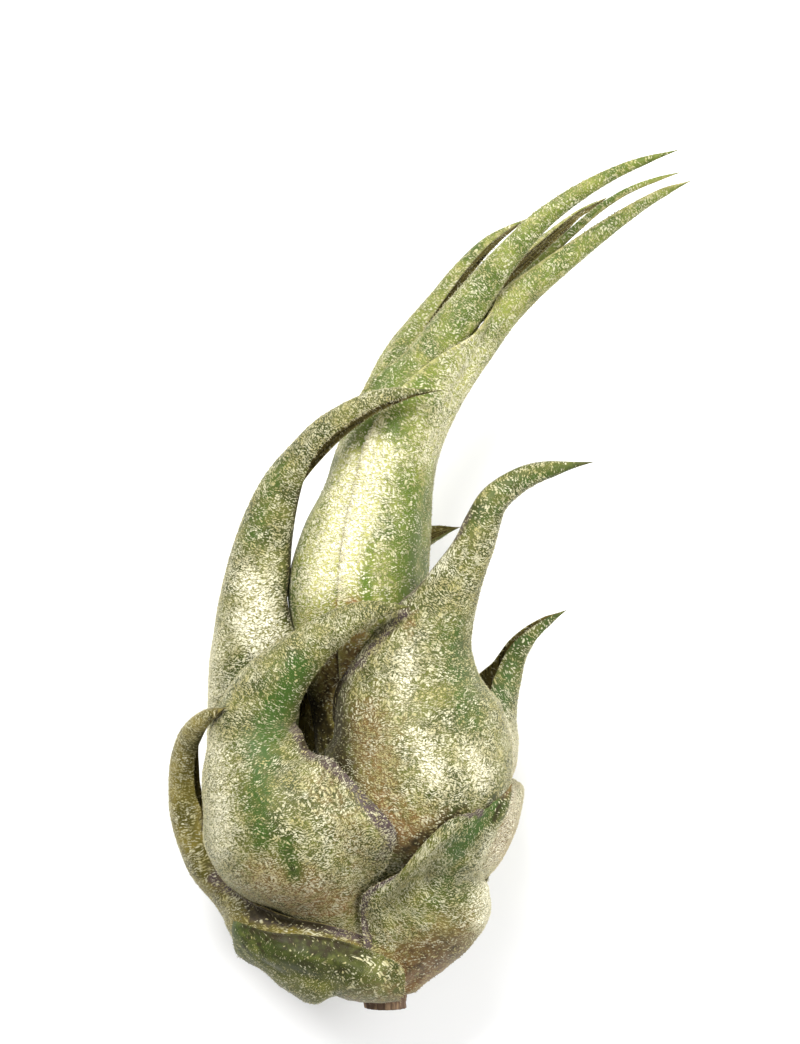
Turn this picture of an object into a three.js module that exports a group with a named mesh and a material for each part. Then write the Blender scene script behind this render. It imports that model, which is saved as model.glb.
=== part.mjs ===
// A bulbous air plant lying on its back: a short woody stem and the leaves that grow from it.
//
// Each leaf is one solid. It starts as a sheath that clasps the stem, swells into its share of the
// hollow bulb, and narrows into a blade that is rolled to a channel and tapers to a point.
// Lengths are in millimetres. +Y runs from the root end to the leaf tips, +Z is up, and the plant
// lies on the plane z = 0, on the backs of its lowest leaves.
import * as THREE from "three";

// Driving dimensions.
const AXIS_HEIGHT = 29; // the bulb's axis over the surface that the plant lies on
const MIDDLE_X = 14; // from the bulb's axis to the middle of the plant's whole width
const MIDDLE_Y = 41.9; // and from the level of the lower leaves to the middle of its whole length
const MIDRIB = 1.15; // a leaf's thickness along its middle
const MARGIN = 0.75; // and along its edges
const BLADE_SHARE = 0.72; // no wall takes more than this share of a thin blade's radius
const CLEARANCE = 0.55; // between a sheath and the one that it clasps
const ROWS_PER_STATION = 2; // rows of facets between two stations of a leaf
const ACROSS = 10; // facets from one margin of a leaf to the other

// The stem, a top-shaped stub of rootstock that the leaves grow round, one below the other.
// Its outline is a list of [height along the axis, radius].
const STEM_OUTLINE = [[-43.5, 4.4], [-38, 5.4], [-30, 7], [-23.5, 8.2], [-11, 1.2]];
const STEM_SIDES = 20;

const GREEN = new THREE.MeshStandardMaterial({ color: 0x8e9468, roughness: 0.9, metalness: 0 });
const YOUNG = new THREE.MeshStandardMaterial({ color: 0xa3ab62, roughness: 0.85, metalness: 0 });
const OLIVE = new THREE.MeshStandardMaterial({ color: 0x9a7f5c, roughness: 0.95, metalness: 0 });
const WOOD = new THREE.MeshStandardMaterial({ color: 0x5e4a37, roughness: 1, metalness: 0 });

// Each leaf, from the heart of the plant outwards. Its stations run from the foot to the tip:
// [x, y, z over the axis, radius, left margin, right margin]. The margins are directions about the
// leaf's own centre line, in degrees: 0 looks up, 90 to the right as one looks at the plant from
// above with the tips ahead, and the leaf's wall goes round from the one to the other.
const LEAVES = [
  {
    name: "shaft_core",
    material: YOUNG,
    stations: [
      [0, -12.2, 0, 3.2, -180, 60],
      [0, 15, 0, 3, -180, 60],
      [-0.5, 40, 0, 3.6, -180, 60],
      [2.5, 58, 0, 3.2, -180, 60],
      [7.5, 73, 0, 2.4, -180, 60],
      [15, 86, -0.6, 1.8, -180, 60],
      [31, 101, -0.8, 1.3, -180, 60],
      [46, 115, -0.5, 0.9, -180, 60],
      [55, 120.6, 0, 0.7, -180, 60],
      [63.8, 123.4, 1.5, 0.35, -180, 60],
    ],
  },
  {
    name: "shaft_inner",
    material: YOUNG,
    stations: [
      [0, -14.6, 0, 4.7, -180, 40],
      [0, 15, 0, 5.4, -180, 40],
      [-0.5, 40, 0, 6.4, -180, 40],
      [2.5, 58, 0, 5.4, -180, 40],
      [7.2, 73, 0, 4.2, -180, 40],
      [14, 86, -1, 3.4, -195, -15],
      [26, 99, -3.8, 2.6, -215, -40],
      [37, 109.6, -6, 1.9, -225, -30],
      [44, 115.6, -8, 1.2, -225, -30],
      [49.8, 119.4, -9.5, 0.35, -225, -30],
    ],
  },
  {
    name: "shaft_left",
    material: YOUNG,
    stations: [
      [0.4, -17.3, 0, 6.2, -185, 15],
      [0, 15, 0, 8, -185, 15],
      [-0.5, 40, 0, 9.4, -185, 15],
      [1.5, 58, -1, 8, -185, 15],
      [4.6, 73, -1.5, 6.8, -185, 15],
      [8.2, 85.4, -2.5, 4.6, -190, 10],
      [16.2, 97.4, -5.5, 3.4, -200, 0],
      [25, 108.6, -8, 2.3, -200, 0],
      [34.6, 115.6, -11, 0.35, -200, 0],
    ],
  },
  {
    name: "shaft_front",
    material: YOUNG,
    stations: [
      [0.8, -20, 0, 8.3, -130, 70],
      [-0.5, 15, 1, 9.6, -130, 70],
      [-2.2, 40, 1, 12.8, -130, 70],
      [1.8, 58, 1, 10, -130, 70],
      [6, 72, 2, 8, -110, 80],
      [13, 84, 2.5, 5.8, -85, 95],
      [24.2, 100.6, 4.5, 3.3, -100, 110],
      [36, 113.7, 6.5, 2.1, -110, 140],
      [50, 122.6, 9, 1.3, -110, 140],
      [62.8, 127, 11, 0.35, -110, 140],
    ],
  },
  {
    name: "shaft_right",
    material: YOUNG,
    stations: [
      [1.3, -22.8, 0, 9.4, -20, 190],
      [0, 15, 0, 11, -20, 190],
      [-0.2, 40, 0, 13.2, -18, 190],
      [3.2, 58, 0, 10.9, -26, 190],
      [7.4, 70, 0, 8.8, -34, 190],
      [14.4, 80.6, 0.5, 6.6, -40, 190],
      [21.6, 88.8, 0.5, 4.9, -45, 190],
      [29.6, 97.6, 0.5, 3.7, -50, 190],
      [42.2, 107.8, 0, 2.6, -50, 190],
      [56.4, 117.8, -1.5, 1.5, -50, 190],
      [66.4, 122.4, -3.5, 0.35, -50, 190],
    ],
  },
  {
    name: "leaf_back",
    material: GREEN,
    stations: [
      [2, -27.3, 0, 9, 100, 260],
      [0.5, -18, -2.5, 12, 95, 265],
      [0, -8, -5.5, 14.5, 95, 265],
      [0, 2, -8, 17.5, 95, 265],
      [-0.5, 18, -10, 14, 90, 260],
      [0, 30, -16, 7, 80, 260],
      [4.6, 42, -19.5, 4, 60, 270],
      [11.6, 50, -20, 2.5, 50, 280],
      [20, 52.6, -19, 0.35, 50, 280],
    ],
  },
  {
    name: "leaf_back_long",
    material: GREEN,
    stations: [
      [2.3, -28.8, 0, 8.8, -230, -70],
      [-1.5, -20, -3, 11.5, -235, -65],
      [-5, -9, -6.5, 14, -235, -65],
      [-6.4, 2, -9, 15.5, -230, -70],
      [-5.4, 18, -14, 11, -225, -75],
      [-2.4, 34, -21, 6, -230, -70],
      [2, 50, -24.6, 4, -260, -60],
      [7.6, 62, -26.6, 2.8, -280, -50],
      [13.6, 70, -28.2, 0.4, -280, -50],
    ],
  },
  {
    name: "leaf_front_right",
    material: GREEN,
    stations: [
      [2.5, -30.3, 0, 8.4, -55, 110],
      [3.6, -20, 1.6, 11.5, -75, 110],
      [6, -10, 4.5, 15, -80, 110],
      [10, 0, 9, 18.2, -100, 110],
      [11.8, 9, 10, 18, -110, 110],
      [10.6, 20, 10, 15, -100, 110],
      [12.2, 29, 11, 10.5, -96, 115],
      [16.6, 38, 14, 6.3, -108, 130],
      [22, 49, 17, 3.9, -130, 160],
      [25.6, 57.4, 18, 2.9, -130, 170],
      [33.6, 63, 18, 2.1, -130, 170],
      [45.8, 65.4, 17, 0.35, -130, 170],
    ],
  },
  {
    name: "leaf_tall_left",
    material: GREEN,
    stations: [
      [2.7, -31.6, 0, 8.8, -190, -10],
      [-2.5, -22, -2, 11.5, -190, -10],
      [-7.5, -10, -4, 14.5, -190, -5],
      [-14.4, 6, -6, 17, -190, 0],
      [-20, 20, -3, 11.3, -200, 30],
      [-20.6, 31, 0, 9.3, -210, 70],
      [-20.8, 40, 2, 7.4, -215, 66],
      [-19.4, 50, 4, 5.7, -220, 88],
      [-15.6, 60.6, 7, 4.1, -240, 66],
      [-10, 68, 10, 3.4, -260, 15],
      [-3.6, 73.6, 13, 3.1, -265, 5],
      [4.4, 77.6, 15, 2.2, -265, 5],
      [16.4, 79.4, 14, 0.35, -265, 5],
    ],
  },
  {
    name: "leaf_right_back",
    material: GREEN,
    stations: [
      [3, -33, 0, 7.9, 20, 200],
      [5.5, -23, -2.5, 12, 25, 205],
      [10, -12, -5.5, 17.8, 34, 205],
      [12.6, -2, -7, 19.5, 46, 200],
      [15, 7.5, -7, 18.2, 48, 195],
      [20.4, 13.2, -6.6, 13.8, 40, 198],
      [24.2, 18, -6, 8.6, 14, 205],
      [28.2, 23, -5.5, 4.2, -20, 225],
      [31, 28, -5, 2.6, -35, 245],
      [35, 32.3, -4.5, 1.6, -35, 250],
      [41.2, 36, -4, 0.35, -35, 250],
    ],
  },
  {
    name: "leaf_front_left",
    material: GREEN,
    stations: [
      [3.2, -34.4, 0, 7.6, -130, 50],
      [-3.2, -27.5, 2, 8.8, -130, 45],
      [-7.2, -18.6, 5.8, 12.6, -130, 56],
      [-11, -10.5, 8.5, 17.6, -130, 70],
      [-14.2, -1.5, 10, 18.3, -130, 57],
      [-18.4, 7, 11, 13.8, -140, 42],
      [-20, 15, 12.5, 8.8, -165, 64],
      [-16, 22.6, 15, 6.4, -210, 58],
      [-8.4, 30.2, 17.5, 4.3, -240, 52],
      [0.6, 35.6, 19.5, 2.6, -250, 52],
      [9.8, 37.2, 21.5, 0.35, -250, 52],
    ],
  },
  {
    name: "leaf_back_right",
    material: GREEN,
    stations: [
      [3.4, -35.8, 0, 7.4, 100, 240],
      [6, -27, -3, 12.5, 100, 235],
      [11, -12, -12, 18, 105, 230],
      [13, 2, -15.6, 14.5, 113, 225],
      [15, 13, -20, 6.4, 85, 230],
      [18, 22, -22, 3, 60, 240],
      [22, 28, -22, 0.35, 60, 240],
    ],
  },
  {
    name: "leaf_back_left",
    material: GREEN,
    stations: [
      [3.7, -37.2, 0, 7.1, -225, -85],
      [-3.5, -29, -4, 14, -225, -90],
      [-8.8, -16, -11.2, 19, -220, -95],
      [-10, -2, -15.6, 14.5, -215, -95],
      [-12.4, 10, -20, 6.8, -220, -70],
      [-9, 20, -22, 3.2, -235, -55],
      [-3, 27, -23, 1.8, -235, -55],
      [4, 31, -23, 0.35, -235, -55],
    ],
  },
  {
    name: "leaf_far_left",
    material: OLIVE,
    stations: [
      [3.9, -38.6, 0, 6.8, -175, 60],
      [-6, -30, 1, 13.5, -165, 40],
      [-13, -24.5, 0, 13.5, -165, -2],
      [-20.7, -17.6, -2, 10.6, -165, -16],
      [-28.5, -11.6, -2, 8, -175, -18],
      [-33.8, -4.6, -1, 4.6, -210, 10],
      [-35, 3, 1, 3.4, -240, 20],
      [-34, 10, 6, 2.6, -240, 28],
      [-30.8, 14.8, 13, 1.8, -230, 40],
      [-26, 17.6, 19, 0.35, -230, 50],
    ],
  },
  {
    name: "leaf_low_right",
    material: GREEN,
    stations: [
      [4.1, -40, 0, 6.6, -60, 150],
      [8.4, -31, 2, 11.4, -45, 130],
      [12.6, -20.5, 5, 13.2, -78, 135],
      [14.8, -11.4, 10.6, 10, -100, 78],
      [18.9, -6.8, 15, 7.9, -100, 78],
      [22.7, -4.2, 18, 4.9, -84, 84],
      [26.6, -1.2, 20, 2.4, -66, 100],
      [29.2, 2.9, 21, 0.35, -50, 110],
    ],
  },
  {
    name: "leaf_low_left",
    material: GREEN,
    stations: [
      [4.4, -41.4, 0, 6.4, -140, 25],
      [-2, -36, 2.5, 9, -115, 68],
      [-9.6, -32.4, 5, 9, -108, 62],
      [-15.4, -29.6, 7, 7, -110, 50],
      [-20.8, -27, 9, 4, -110, 45],
      [-24.6, -24.8, 9.5, 0.6, -110, 45],
    ],
  },
];

const DEGREES = Math.PI / 180;
const CARRIED = 16; // steps from one section to the next in which a leaf's frame is carried
const SQUARED = 0.4; // share of a leaf's length over which its sections turn square to it

// A smooth line through a list of numbers, evenly spaced in u from 0 to 1.
function through(list, u) {
  const last = list.length - 1;
  const i = Math.min(Math.floor(u * last), last - 1);
  const w = u * last - i;
  const b = list[i];
  const c = list[i + 1];
  const a = i > 0 ? list[i - 1] : 2 * b - c;
  const d = i < last - 1 ? list[i + 2] : 2 * c - b;
  return b + 0.5 * w * (c - a + w * (2 * a - 5 * b + 4 * c - d + w * (3 * (b - c) + d - a)));
}

// What each section of a leaf needs, from foot to tip: its centre, its up and right directions,
// its radius and the directions of its margins. Sections are square to the plant's own axis at the
// foot and square to the leaf's centre line further on, and up is carried along without twisting.
function sectionsOf(leaf, count) {
  const column = (k) => leaf.stations.map((station) => station[k]);
  const [xs, ys, zs, radii, lefts, rights] = [0, 1, 2, 3, 4, 5].map(column);
  const place = (u) => new THREE.Vector3(through(xs, u), through(ys, u), through(zs, u));
  const plantwise = new THREE.Vector3(0, 1, 0);
  let up = new THREE.Vector3(0, 0, 1);
  const sections = [];
  for (let i = 0; i <= count * CARRIED; i++) {
    const u = i / (count * CARRIED);
    const step = 0.5 / (count * CARRIED);
    const line = place(Math.min(u + step, 1)).sub(place(Math.max(u - step, 0))).normalize();
    const square = THREE.MathUtils.smoothstep(u, 0, SQUARED);
    const along = plantwise.clone().lerp(line, square).normalize();
    up = up.clone().addScaledVector(along, -up.dot(along)).normalize();
    if (i % CARRIED !== 0) continue;
    sections.push({
      centre: place(u),
      up,
      right: along.clone().cross(up),
      radius: through(radii, u),
      left: through(lefts, u) * DEGREES,
      span: (through(rights, u) - through(lefts, u)) * DEGREES,
    });
  }
  return sections;
}

// How far out from the plant's axis the pieces placed so far reach, by height along the axis and
// by direction about it. It keeps each new sheath outside the ones that it clasps.
const LOWEST = -46; // the reach is kept from this height, one row to a millimetre,
const HIGHEST = 103; // to this one
const LOOSE = 90; // above this height the blades come loose from each other
const DIRECTIONS = 120; // cells in each row, once round the axis
const SPREAD_ROUND = 2; // cells by which the reach is widened, and then smoothed, round the axis
const SPREAD_ALONG = 1; // and along it
const FILL = 14; // steps in which each facet is counted into the reach

// The plant's axis, from the stem's foot up through the bent shaft: [height y, x].
const AXIS = [
  [-44, 4.8],
  [-15, 0],
  [30, 0],
  [40, -0.6],
  [58, 2.6],
  [68, 5.4],
  [78, 9.4],
  [92, 17.9],
  [105, 29],
];
const reach = Array.from({ length: HIGHEST - LOWEST + 1 }, () => new Float64Array(DIRECTIONS));

// The x of the plant's axis at a height y.
function axisX(y) {
  const k = Math.max(1, AXIS.findIndex(([top]) => top >= y));
  const [[y0, x0], [y1, x1]] = [AXIS[k - 1], AXIS[k]];
  return THREE.MathUtils.mapLinear(y, y0, y1, x0, x1);
}

// Where a point lies about the axis: how far to the right, in which cell, and how far out.
function aroundAxis(p) {
  const dx = p.x - axisX(p.y);
  return { dx, cell: (Math.atan2(dx, p.z) / (2 * Math.PI)) * DIRECTIONS, out: Math.hypot(dx, p.z) };
}

const wrapped = (cell) => ((cell % DIRECTIONS) + DIRECTIONS) % DIRECTIONS;

// Counts the points of a face, finely filled in, into the reach.
function addReach(face) {
  for (let i = 0; i + 1 < face.length; i++)
    for (let j = 0; j + 1 < face[i].length; j++)
      for (let a = 0; a <= FILL; a++)
        for (let b = 0; b <= FILL; b++) {
          const near = face[i][j].clone().lerp(face[i][j + 1], b / FILL);
          const far = face[i + 1][j].clone().lerp(face[i + 1][j + 1], b / FILL);
          const p = near.lerp(far, a / FILL);
          const row = reach[Math.round(p.y) - LOWEST];
          if (!row) continue;
          const { cell, out } = aroundAxis(p);
          const k = wrapped(Math.round(cell));
          row[k] = Math.max(row[k], out);
        }
}

// The reach widened to its neighbours and then smoothed, so that a sheath lies softly over a step.
function softReach() {
  const sweep = (map, combine) =>
    map.map((_, row) => {
      const rows = map.slice(Math.max(0, row - SPREAD_ALONG), row + SPREAD_ALONG + 1);
      return Float64Array.from({ length: DIRECTIONS }, (_, k) => {
        const found = [];
        for (const line of rows)
          for (let c = -SPREAD_ROUND; c <= SPREAD_ROUND; c++) found.push(line[wrapped(k + c)]);
        return combine(found);
      });
    });
  const widest = sweep(reach, (found) => Math.max(...found));
  return sweep(widest, (found) => found.reduce((sum, out) => sum + out, 0) / found.length);
}

// The reach at any height and direction.
function reachAt(map, y, cell) {
  const height = THREE.MathUtils.clamp(y - LOWEST, 0, map.length - 1);
  const i = Math.min(Math.floor(height), map.length - 2);
  const k = Math.floor(cell);
  const along = (row) => THREE.MathUtils.lerp(row[wrapped(k)], row[wrapped(k + 1)], cell - k);
  return THREE.MathUtils.lerp(along(map[i]), along(map[i + 1]), height - i);
}

// Moves a point out to where it clears what lies under it.
function drape(p, clasped) {
  const { dx, cell, out } = aroundAxis(p);
  const under = reachAt(clasped, p.y, cell);
  const clear = under === 0 || out >= under + CLEARANCE;
  if (clear) return;
  const hold = 1 - THREE.MathUtils.smoothstep(p.y, LOOSE, HIGHEST);
  const push = THREE.MathUtils.lerp(1, (under + CLEARANCE) / out, hold);
  p.x = axisX(p.y) + dx * push;
  p.z *= push;
}

// A leaf's two faces as rows of points. The inner one lies over what the leaf clasps, and the
// outer one is a wall's thickness off it.
function facesOf(leaf) {
  const rows = (leaf.stations.length - 1) * ROWS_PER_STATION;
  const clasped = softReach();
  const walls = [];
  const inner = sectionsOf(leaf, rows).map(({ centre, up, right, radius, left, span }) => {
    const row = [];
    const wallRow = [];
    for (let j = 0; j <= ACROSS; j++) {
      const t = (2 * j) / ACROSS - 1;
      const direction = left + (span * j) / ACROSS;
      const wall = Math.min(MIDRIB + (MARGIN - MIDRIB) * t * t, radius * BLADE_SHARE);
      const p = centre
        .clone()
        .addScaledVector(right, (radius - wall) * Math.sin(direction))
        .addScaledVector(up, (radius - wall) * Math.cos(direction));
      drape(p, clasped);
      row.push(p);
      wallRow.push(wall);
    }
    walls.push(wallRow);
    return row;
  });
  const outer = inner.map((row, i) =>
    row.map((p, j) => {
      const along = inner[Math.min(i + 1, rows)][j].clone().sub(inner[Math.max(i - 1, 0)][j]);
      const across = row[Math.min(j + 1, ACROSS)].clone().sub(row[Math.max(j - 1, 0)]);
      const outward = across.cross(along);
      if (i === 0) outward.y = 0; // a foot is cut off square
      return p.clone().addScaledVector(outward.normalize(), walls[i][j]);
    }),
  );
  // What would reach below the surface that the plant lies on is pressed flat against it.
  for (const p of outer.flat()) p.z = Math.max(p.z, -AXIS_HEIGHT);
  for (const p of inner.flat()) p.z = Math.max(p.z, MARGIN - AXIS_HEIGHT);
  return { inner, outer };
}

// The closed solid between a leaf's two faces, whose facets are split alike on both.
function solidBetween({ inner, outer }) {
  const rows = inner.length;
  const columns = inner[0].length;
  const out = (i, j) => i * columns + j;
  const back = (i, j) => (rows + i) * columns + j;
  const index = [];
  const facet = (a, b, c, d) => index.push(a, b, c, a, c, d);
  for (let i = 0; i + 1 < rows; i++)
    for (let j = 0; j + 1 < columns; j++) {
      facet(out(i, j), out(i, j + 1), out(i + 1, j + 1), out(i + 1, j));
      facet(back(i + 1, j + 1), back(i, j + 1), back(i, j), back(i + 1, j));
    }
  const [top, last] = [rows - 1, columns - 1];
  for (let i = 0; i < top; i++) {
    facet(back(i, 0), out(i, 0), out(i + 1, 0), back(i + 1, 0));
    facet(out(i, last), back(i, last), back(i + 1, last), out(i + 1, last));
  }
  for (let j = 0; j < last; j++) {
    facet(back(0, j), back(0, j + 1), out(0, j + 1), out(0, j));
    facet(out(top, j), out(top, j + 1), back(top, j + 1), back(top, j));
  }
  const geometry = new THREE.BufferGeometry().setFromPoints([...outer.flat(), ...inner.flat()]);
  geometry.setIndex(index);
  geometry.computeVertexNormals();
  return geometry;
}

// The stem, turned about its own line, with its foot off to one side of the plant's axis.
function stem() {
  const points = STEM_OUTLINE.map(([y, radius]) => new THREE.Vector2(radius, y));
  const [foot, top] = [points[0], points.at(-1)];
  const closed = [new THREE.Vector2(0, foot.y), ...points, new THREE.Vector2(0, top.y)];
  const geometry = new THREE.LatheGeometry(closed, STEM_SIDES);
  const place = geometry.getAttribute("position");
  for (let i = 0; i < place.count; i++) place.setX(i, place.getX(i) + axisX(place.getY(i)));
  const mesh = new THREE.Mesh(geometry, WOOD);
  mesh.name = "stem";
  return mesh;
}

// Counts the stem into the reach, less the part of the clearance that a foot's seat does without.
function addStemReach() {
  const spare = 0.25;
  for (let k = 0; k + 1 < STEM_OUTLINE.length; k++) {
    const [[y0, radius0], [y1, radius1]] = [STEM_OUTLINE[k], STEM_OUTLINE[k + 1]];
    for (let y = Math.ceil(y0); y <= y1; y++)
      reach[y - LOWEST].fill(THREE.MathUtils.mapLinear(y, y0, y1, radius0, radius1) - spare);
  }
}

const plant = new THREE.Group();
plant.add(stem());
addStemReach();
for (const leaf of LEAVES) {
  const faces = facesOf(leaf);
  addReach(faces.outer);
  const mesh = new THREE.Mesh(solidBetween(faces), leaf.material);
  mesh.name = leaf.name;
  plant.add(mesh);
}
plant.position.set(-MIDDLE_X, -MIDDLE_Y, AXIS_HEIGHT);

export default plant;
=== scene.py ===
"""A bulbous air plant, as picked, lying on its back on a pale table and seen from straight above.

The plant is a short woody stem and sixteen leaves, each a swollen sheath that narrows to a rolled
blade, all furred with silver scales. The leaves are worked out in millimetres about the bulb's axis:
x to the right, y towards the tips, z up. Each piece is then put into the frame, in metres.
"""

import bpy
import numpy as np
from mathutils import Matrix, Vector


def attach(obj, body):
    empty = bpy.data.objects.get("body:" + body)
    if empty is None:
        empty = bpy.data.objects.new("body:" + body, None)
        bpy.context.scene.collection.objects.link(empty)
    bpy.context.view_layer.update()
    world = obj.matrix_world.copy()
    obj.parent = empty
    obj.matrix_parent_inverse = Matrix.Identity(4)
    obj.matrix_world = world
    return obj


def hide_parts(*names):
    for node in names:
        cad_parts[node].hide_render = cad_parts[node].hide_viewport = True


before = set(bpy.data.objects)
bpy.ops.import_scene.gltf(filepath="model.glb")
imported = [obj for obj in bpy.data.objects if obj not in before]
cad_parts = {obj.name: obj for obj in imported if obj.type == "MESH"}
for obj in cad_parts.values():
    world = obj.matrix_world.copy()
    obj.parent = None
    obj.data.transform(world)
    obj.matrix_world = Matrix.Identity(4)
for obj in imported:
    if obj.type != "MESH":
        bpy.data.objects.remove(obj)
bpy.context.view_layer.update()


# --- The stem ------------------------------------------------------------------------------------
# A stub of rootstock inside the bulb, brown and fibrous, which every leaf grows from. It is a top
# that widens towards the leaves, ringed by old leaf scars, and ends in a rough snapped-off foot.

MM = 0.001  # a millimetre in metres
FRAME_ORIGIN = np.array([14.0, 41.9, -29.0])  # the frame's origin, in the plant's own millimetres
TABLE = FRAME_ORIGIN[2]  # the height of the table under the plant
STEM_OUTLINE = np.array([[-43.5, 4.4], [-38, 5.4], [-30, 7], [-23.5, 8.2], [-11, 1.2]])  # height, radius
STEM_BARK = "#5b4634"
STEM_FIBRE = "#9a7f5f"
STEM_INSET = 0.35  # how far the bare wood lies inside the outline
STEM_RIDGES = (0.12, 17, 2), (0.08, 29, 0)  # height, how many go round the stem, and their shift
SCAR_DEPTH, SCAR_RATE = 0.12, 2.4  # millimetres, and radians to a millimetre along the stem
FOOT_HOLLOW, SPLINTERS = 0.5, 0.35  # how deep the foot is hollowed, and how uneven it is

# The plant's axis, from the stem's foot up through the bent shaft: height y, x.
AXIS = np.array([
    [-44, 4.8], [-15, 0], [30, 0], [40, -0.6], [58, 2.6], [68, 5.4], [78, 9.4], [92, 17.9], [105, 29],
])


def axis_x(y):
    """The x of the plant's axis at each height: straight lines between the points of AXIS."""
    return np.interp(y, AXIS[:, 0], AXIS[:, 1])


def colour(code):
    """A hex colour as the linear red, green, blue and alpha that a shader takes."""
    value = np.array([int(code[k : k + 2], 16) for k in (1, 3, 5)]) / 255
    linear = np.where(value <= 0.04045, value / 12.92, ((value + 0.055) / 1.055) ** 2.4)
    return (*linear, 1.0)


def new_piece(name, places, corners, material, masks=None):
    """A mesh piece from whole arrays: points in the plant's millimetres, faces as rows of point
    numbers, and masks as named arrays with one number for each point."""
    mesh = bpy.data.meshes.new(name)
    sides = corners.shape[1]
    mesh.vertices.add(len(places))
    mesh.vertices.foreach_set("co", ((places - FRAME_ORIGIN) * MM).astype(np.float32).ravel())
    mesh.loops.add(corners.size)
    mesh.loops.foreach_set("vertex_index", corners.astype(np.int32).ravel())
    mesh.polygons.add(len(corners))
    mesh.polygons.foreach_set("loop_start", np.arange(0, corners.size, sides, dtype=np.int32))
    mesh.update(calc_edges=True)
    for mask_name, values in (masks or {}).items():
        layer = mesh.attributes.new(mask_name, "FLOAT", "POINT")
        layer.data.foreach_set("value", values.astype(np.float32).ravel())
    mesh.materials.append(material)
    piece = bpy.data.objects.new(name, mesh)
    bpy.context.scene.collection.objects.link(piece)
    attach(piece, "root")
    return piece


def ring_faces(rows, count):
    """Faces over rows of points that each run once round, closed at both ends: from each row to
    the next, and across the first and the last row, between the points that face each other."""
    row, k = np.mgrid[0 : rows - 1, 0:count]
    after = (k + 1) % count
    low, high = row * count, (row + 1) * count
    sides = np.stack([low + k, low + after, high + after, high + k], -1).reshape(-1, 4)
    k = np.arange(count // 2 - 1)
    first = np.stack([count - 1 - k, count - 2 - k, k + 1, k], -1)
    last = np.stack([k, k + 1, count - 2 - k, count - 1 - k], -1) + (rows - 1) * count
    return np.concatenate([sides, first, last])


def shader(name):
    """A new material, and its empty node tree."""
    material = bpy.data.materials.new(name)
    material.use_nodes = True
    tree = material.node_tree
    tree.nodes.clear()
    return material, tree


def node(tree, kind, inputs=None, **settings):
    """Adds a node. inputs maps a socket's name or number to a value or to the output that feeds it."""
    made = tree.nodes.new(kind)
    for key, value in settings.items():
        setattr(made, key, value)
    for key, value in (inputs or {}).items():
        if isinstance(value, bpy.types.NodeSocket):
            tree.links.new(value, made.inputs[key])
        else:
            made.inputs[key].default_value = value
    return made


def mixed(tree, share, first, second):
    """first where share is 0 and second where it is 1, both colours."""
    return node(tree, "ShaderNodeMix", {0: share, 6: first, 7: second}, data_type="RGBA").outputs[2]


def sums(tree, operation, first, second=0.0, third=0.0):
    """One step of arithmetic on values."""
    values = {0: first, 1: second, 2: third}
    return node(tree, "ShaderNodeMath", values, operation=operation).outputs[0]


def noise(tree, place, scale, detail=2.0):
    """Soft noise at a place: scale waves to the metre, and detail times finer waves upon them."""
    return node(tree, "ShaderNodeTexNoise", {"Vector": place, "Scale": scale, "Detail": detail}).outputs[0]


def between(tree, value, low, high):
    """0 where value is low, 1 where it is high, smooth between."""
    limits = {"Value": value, "From Min": low, "From Max": high}
    return node(tree, "ShaderNodeMapRange", limits, interpolation_type="SMOOTHSTEP").outputs[0]


def mask(tree, name):
    """The piece's own attribute of that name."""
    return node(tree, "ShaderNodeAttribute", attribute_name=name).outputs["Fac"]


def surface(tree, base, roughness, height, depth, **constants):
    """The Principled surface, with a bump of the given depth in metres, and constants on its sockets."""
    bump = node(tree, "ShaderNodeBump", {"Height": height, "Distance": depth, "Strength": 1.0})
    wanted = {"Base Color": base, "Roughness": roughness, "Normal": bump.outputs[0], **constants}
    shade = node(tree, "ShaderNodeBsdfPrincipled", wanted)
    node(tree, "ShaderNodeOutputMaterial", {"Surface": shade.outputs[0]})


def stem_surface():
    """Bark: long fibres, as noise stretched along the stem, paler on their ridges."""
    material, tree = shader("stem_bark")
    place = node(tree, "ShaderNodeTexCoord").outputs["Object"]
    along = node(tree, "ShaderNodeMapping", {"Vector": place, "Scale": (900, 120, 900)}).outputs[0]
    fibre = noise(tree, along, 1.0, 5.0)
    pale = between(tree, fibre, 0.45, 0.68)
    base = mixed(tree, pale, colour(STEM_BARK), colour(STEM_FIBRE))
    surface(tree, base, 0.9, fibre, 0.0005)
    return material


def stem_piece():
    """A turned top: at each height a circle of the outline's radius, with sine waves as ridges round
    it and a cubed sine as scars along it, and across its foot ever smaller, ragged circles."""
    heights, turns, foot_circles = 90, 72, 6
    y = np.linspace(STEM_OUTLINE[0, 0], STEM_OUTLINE[-1, 0], heights)
    turn = np.linspace(0, 2 * np.pi, turns, endpoint=False)
    radius = np.interp(y, STEM_OUTLINE[:, 0], STEM_OUTLINE[:, 1])[:, None]
    ridges = sum(height * np.sin(count * turn + shift) for height, count, shift in STEM_RIDGES)
    scars = SCAR_DEPTH * np.sin(SCAR_RATE * y)[:, None] ** 3
    side = radius - STEM_INSET + ridges + scars * np.minimum(radius / 4, 1)
    inward = np.linspace(0.04, 1, foot_circles + 1)[:-1, None]
    torn = np.sin(5 * turn + 9 * inward) * np.sin(3 * turn)
    ragged = (1 - inward) * (FOOT_HOLLOW + SPLINTERS * torn)
    radii = np.vstack([inward * side[0], side, side[-1:] * 0.1])
    up = np.vstack([y[0] + ragged, np.repeat(y[:, None], turns, 1), np.full((1, turns), y[-1])])
    places = np.stack([axis_x(up) + radii * np.cos(turn), up, -radii * np.sin(turn)], -1)
    piece = new_piece("stem_wood", places.reshape(-1, 3), ring_faces(*up.shape), stem_surface())
    piece.data.shade_smooth()
    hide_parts("stem")


stem_piece()


# --- The rolled shaft ----------------------------------------------------------------------------
# Five young leaves, rolled one inside the other into the long neck that bends to the right, whose
# blades fan out at the top. They are thin, yellow-green and pale, and clasp each other by growth.

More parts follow.
